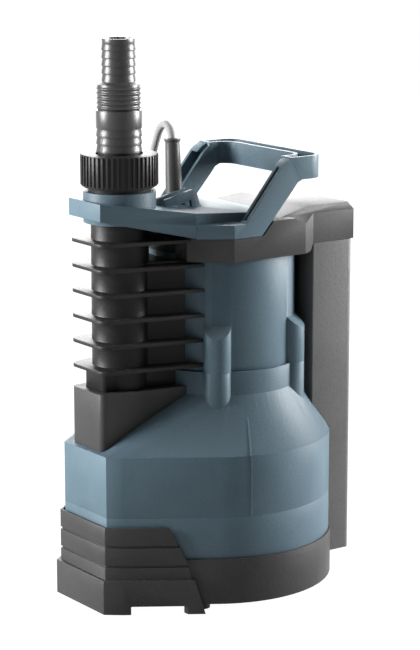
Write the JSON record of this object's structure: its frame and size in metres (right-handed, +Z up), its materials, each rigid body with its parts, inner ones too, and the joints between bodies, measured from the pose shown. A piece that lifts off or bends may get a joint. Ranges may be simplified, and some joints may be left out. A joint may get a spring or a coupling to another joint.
{
  "type": "submersible drainage pump",
  "caption": "Submersible drainage pump with float box, ribbed riser, stepped hose adapter, carrying handle and mains lead.",
  "frame": {"origin": "on the ground under the middle of the pump, without its cable", "axes": "+Z up along the motor axis, -X towards the nose and the outlet, +X towards the float box, Y across the handle"},
  "size_m": [0.2945, 0.3165, 0.433],
  "materials": {
    "body_blue": "satin",
    "body_black": "satin",
    "box_grey": "satin",
    "steel": "satin",
    "cast": "satin",
    "laminate": "satin",
    "copper_wire": "satin",
    "seal_rubber": "matte",
    "float_foam": "matte",
    "pale_plastic": "satin",
    "ceramic": "satin",
    "cable_grey": "satin",
    "sleeve_grey": "satin",
    "plug_black": "satin"
  },
  "bodies": {
    "housing": {"strainer_base": "body_black", "nose_bumper": "body_black", "base_screws": "steel", "suction_plate": "body_black", "volute_body": "body_blue", "seal_plate": "cast", "shaft_seal_seat": "ceramic", "lip_seals": "seal_rubber", "oil_chamber": "cast", "lower_casing": "body_blue", "motor_shield": "cast", "stator_core": "laminate", "stator_windings": "copper_wire", "bearing_outer_races": "steel", "casing_seal": "seal_rubber", "motor_casing": "body_blue", "casing_screws": "steel", "upper_shield": "cast", "capacitor": "pale_plastic", "terminal_block": "pale_plastic", "riser_cover": "body_black", "riser_duct": "body_black", "flap_hinge": "steel", "outlet_gasket": "seal_rubber", "hose_adapter": "body_black", "handle": "body_blue", "handle_screws": "steel", "top_cover": "body_black", "float_box": "box_grey", "float_stem": "pale_plastic", "stem_bracket": "body_black", "stem_clip": "steel", "cable_gland": "plug_black", "strain_relief": "sleeve_grey", "power_cable": "cable_grey", "cable_coil": "cable_grey", "coil_ties": "plug_black", "plug_lead": "cable_grey", "plug_body": "plug_black", "plug_pins": "steel"},
    "rotor": {"motor_shaft": "steel", "rotor_core": "laminate", "impeller": "body_black", "impeller_nut": "steel", "shaft_seal_ring": "ceramic", "bearing_inner_races": "steel", "bearing_balls": "steel"},
    "float": {"float_body": "float_foam", "float_magnet": "ceramic"},
    "nut": {"union_nut": "body_black"},
    "flap": {"check_flap": "seal_rubber"}
  },
  "joints": [
    {"name": "rotor_spin", "type": "hinge", "parent": "housing", "child": "rotor", "pos_m": [0.0195, 0, 0.15], "axis": [0, 0, 1], "continuous": true},
    {"name": "union_nut_turn", "type": "hinge", "parent": "housing", "child": "nut", "pos_m": [-0.073, 0, 0.334], "axis": [0, 0, 1], "continuous": true},
    {"name": "float_lift", "type": "slide", "parent": "housing", "child": "float", "axis": [0, 0, 1], "range_m": [0, 0.1]},
    {"name": "flap_swing", "type": "hinge", "parent": "housing", "child": "flap", "pos_m": [-0.0585, 0, 0.3201], "axis": [0, 1, 0], "range_deg": [0, 55]}
  ]
}
